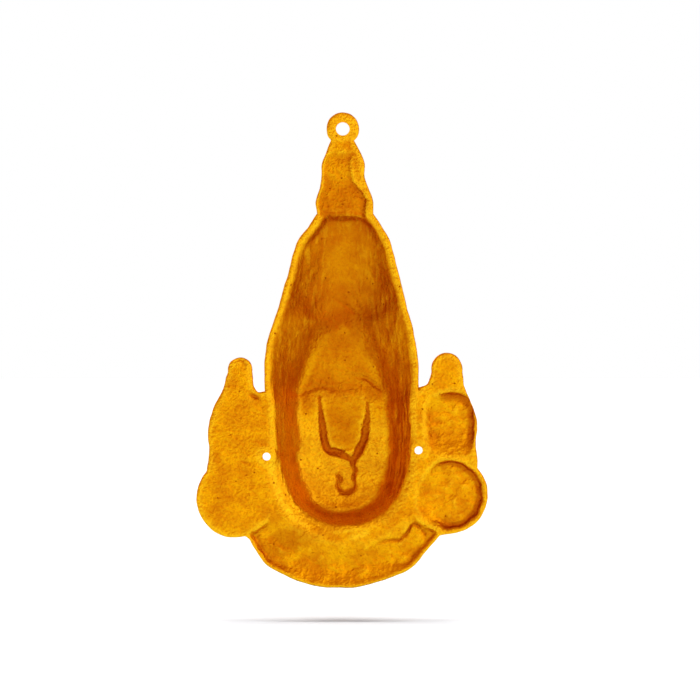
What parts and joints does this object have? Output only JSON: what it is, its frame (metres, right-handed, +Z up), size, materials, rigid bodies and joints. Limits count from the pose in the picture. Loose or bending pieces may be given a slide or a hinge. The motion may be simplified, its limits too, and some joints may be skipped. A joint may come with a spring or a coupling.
{
  "type": "deity face wall hanging",
  "caption": "One-piece cast brass wall hanging: a crowned deity's face with discus, conch, ear rosettes and collar, hollow behind, with a hanging eye on top.",
  "frame": {"origin": "middle of the hanging eye's hole, in the plane of the back rim that lies against the wall", "axes": "+Z up along the face's height, -Y out of the wall towards the viewer, +X to the viewer's right; the back rim lies in the plane y = 0"},
  "size_m": [0.0933, 0.0224, 0.1521],
  "materials": {
    "cast_brass": "rough cast brass, golden lacquer, satin"
  },
  "bodies": {
    "root": {"deity_mask_casting": "cast_brass"}
  },
  "joints": []
}
